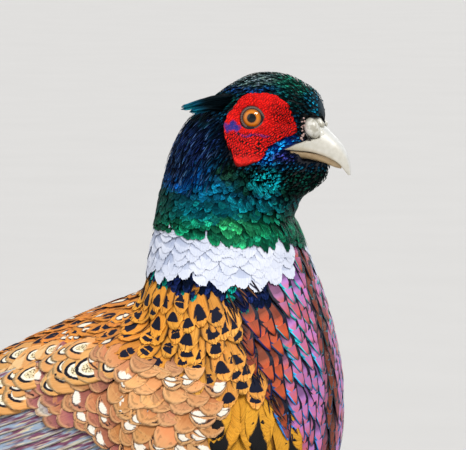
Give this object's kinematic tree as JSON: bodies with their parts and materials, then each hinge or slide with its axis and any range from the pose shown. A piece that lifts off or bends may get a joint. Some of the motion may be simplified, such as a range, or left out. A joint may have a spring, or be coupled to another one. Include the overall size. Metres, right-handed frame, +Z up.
{
  "type": "common pheasant, cock, standing",
  "caption": "Life-size cock common pheasant with white neck ring, red face wattle and long tail, standing alert with its head turned slightly.",
  "frame": {"origin": "on the floor under the middle of the bird's box", "axes": "+X the way the bird faces, +Y its left side, +Z up"},
  "size_m": [0.7794, 0.134, 0.3921],
  "materials": {
    "body_feathers": "golden and copper feathers with dark tips",
    "green_feathers": "glossy blue-green feathers",
    "white_feathers": "soft white feathers",
    "flight_feathers": "barred brown feathers",
    "horn": "smooth ivory horn",
    "dark_horn": "worn dark horn",
    "leg_skin": "scaled grey skin",
    "eye": "wet amber eye"
  },
  "bodies": {
    "root": {"torso": "body_feathers", "neck_collar": "white_feathers", "neck_upper": "green_feathers", "head": "green_feathers", "bill_upper": "horn", "bill_lower": "horn", "tail": "flight_feathers", "eye_left": "eye", "wing_left": "flight_feathers", "thigh_left": "body_feathers", "shank_left": "leg_skin", "spur_left": "dark_horn", "toe_inner_left": "leg_skin", "claw_inner_left": "dark_horn", "toe_middle_left": "leg_skin", "claw_middle_left": "dark_horn", "toe_outer_left": "leg_skin", "claw_outer_left": "dark_horn", "toe_hind_left": "leg_skin", "claw_hind_left": "dark_horn", "eye_right": "eye", "wing_right": "flight_feathers", "thigh_right": "body_feathers", "shank_right": "leg_skin", "spur_right": "dark_horn", "toe_inner_right": "leg_skin", "claw_inner_right": "dark_horn", "toe_middle_right": "leg_skin", "claw_middle_right": "dark_horn", "toe_outer_right": "leg_skin", "claw_outer_right": "dark_horn", "toe_hind_right": "leg_skin", "claw_hind_right": "dark_horn"}
  },
  "joints": []
}
